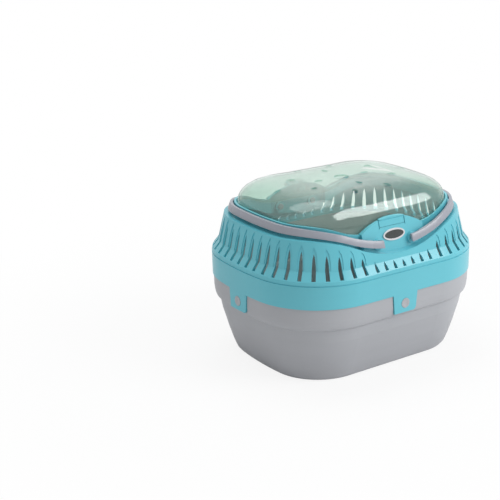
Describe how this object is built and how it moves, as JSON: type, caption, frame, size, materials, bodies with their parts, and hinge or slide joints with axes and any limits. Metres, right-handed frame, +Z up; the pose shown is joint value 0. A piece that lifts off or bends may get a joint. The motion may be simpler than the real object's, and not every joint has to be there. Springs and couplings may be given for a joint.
{
  "type": "small-animal carrier",
  "caption": "Small-animal carrier: grey tub, slotted turquoise upper frame, clear hinged dome lid with a front latch, and grey bail handles that fold round the ends.",
  "frame": {"origin": "middle of the resting face, on the floor", "axes": "+X along the long side towards the right handle, -Y the front with the latch and badge, +Y the hinge side, +Z up"},
  "size_m": [0.3006, 0.2436, 0.21],
  "materials": {
    "tub_grey": "satin moulded plastic",
    "frame_turquoise": "satin moulded plastic",
    "lid_clear": "clear polished plastic",
    "handle_grey": "satin moulded plastic",
    "badge_bright": "bright plated plastic",
    "badge_dark": "dark smooth plastic",
    "stud_grey": "satin moulded plastic",
    "pin_steel": "plain steel wire pin"
  },
  "bodies": {
    "carrier": {"base_tub": "tub_grey", "upper_frame": "frame_turquoise", "snap_stud_front": "stud_grey", "snap_stud_back": "stud_grey", "snap_stud_left": "stud_grey", "snap_stud_right": "stud_grey", "badge_ring": "badge_bright", "badge_plate": "badge_dark", "hinge_pin_left": "pin_steel", "hinge_pin_right": "pin_steel"},
    "lid": {"dome_lid": "lid_clear"},
    "left_handle": {"handle_left": "handle_grey"},
    "right_handle": {"handle_right": "handle_grey"},
    "latch": {"latch_tongue": "frame_turquoise"}
  },
  "joints": [
    {"name": "lid_hinge", "type": "hinge", "parent": "carrier", "child": "lid", "pos_m": [0, 0.1002, 0.1808], "axis": [-1, 0, 0], "range_deg": [0, 180]},
    {"name": "left_handle_pivot", "type": "hinge", "parent": "carrier", "child": "left_handle", "pos_m": [-0.02475, 0, 0.1554], "axis": [0, 1, 0], "range_deg": [0, 86]},
    {"name": "right_handle_pivot", "type": "hinge", "parent": "carrier", "child": "right_handle", "pos_m": [0.02475, 0, 0.1554], "axis": [0, -1, 0], "range_deg": [0, 86]},
    {"name": "latch_press", "type": "hinge", "parent": "carrier", "child": "latch", "pos_m": [0, -0.0945, 0.169], "axis": [1, 0, 0], "range_deg": [0, 8], "stiffness_Nm_per_rad": 0.3}
  ]
}
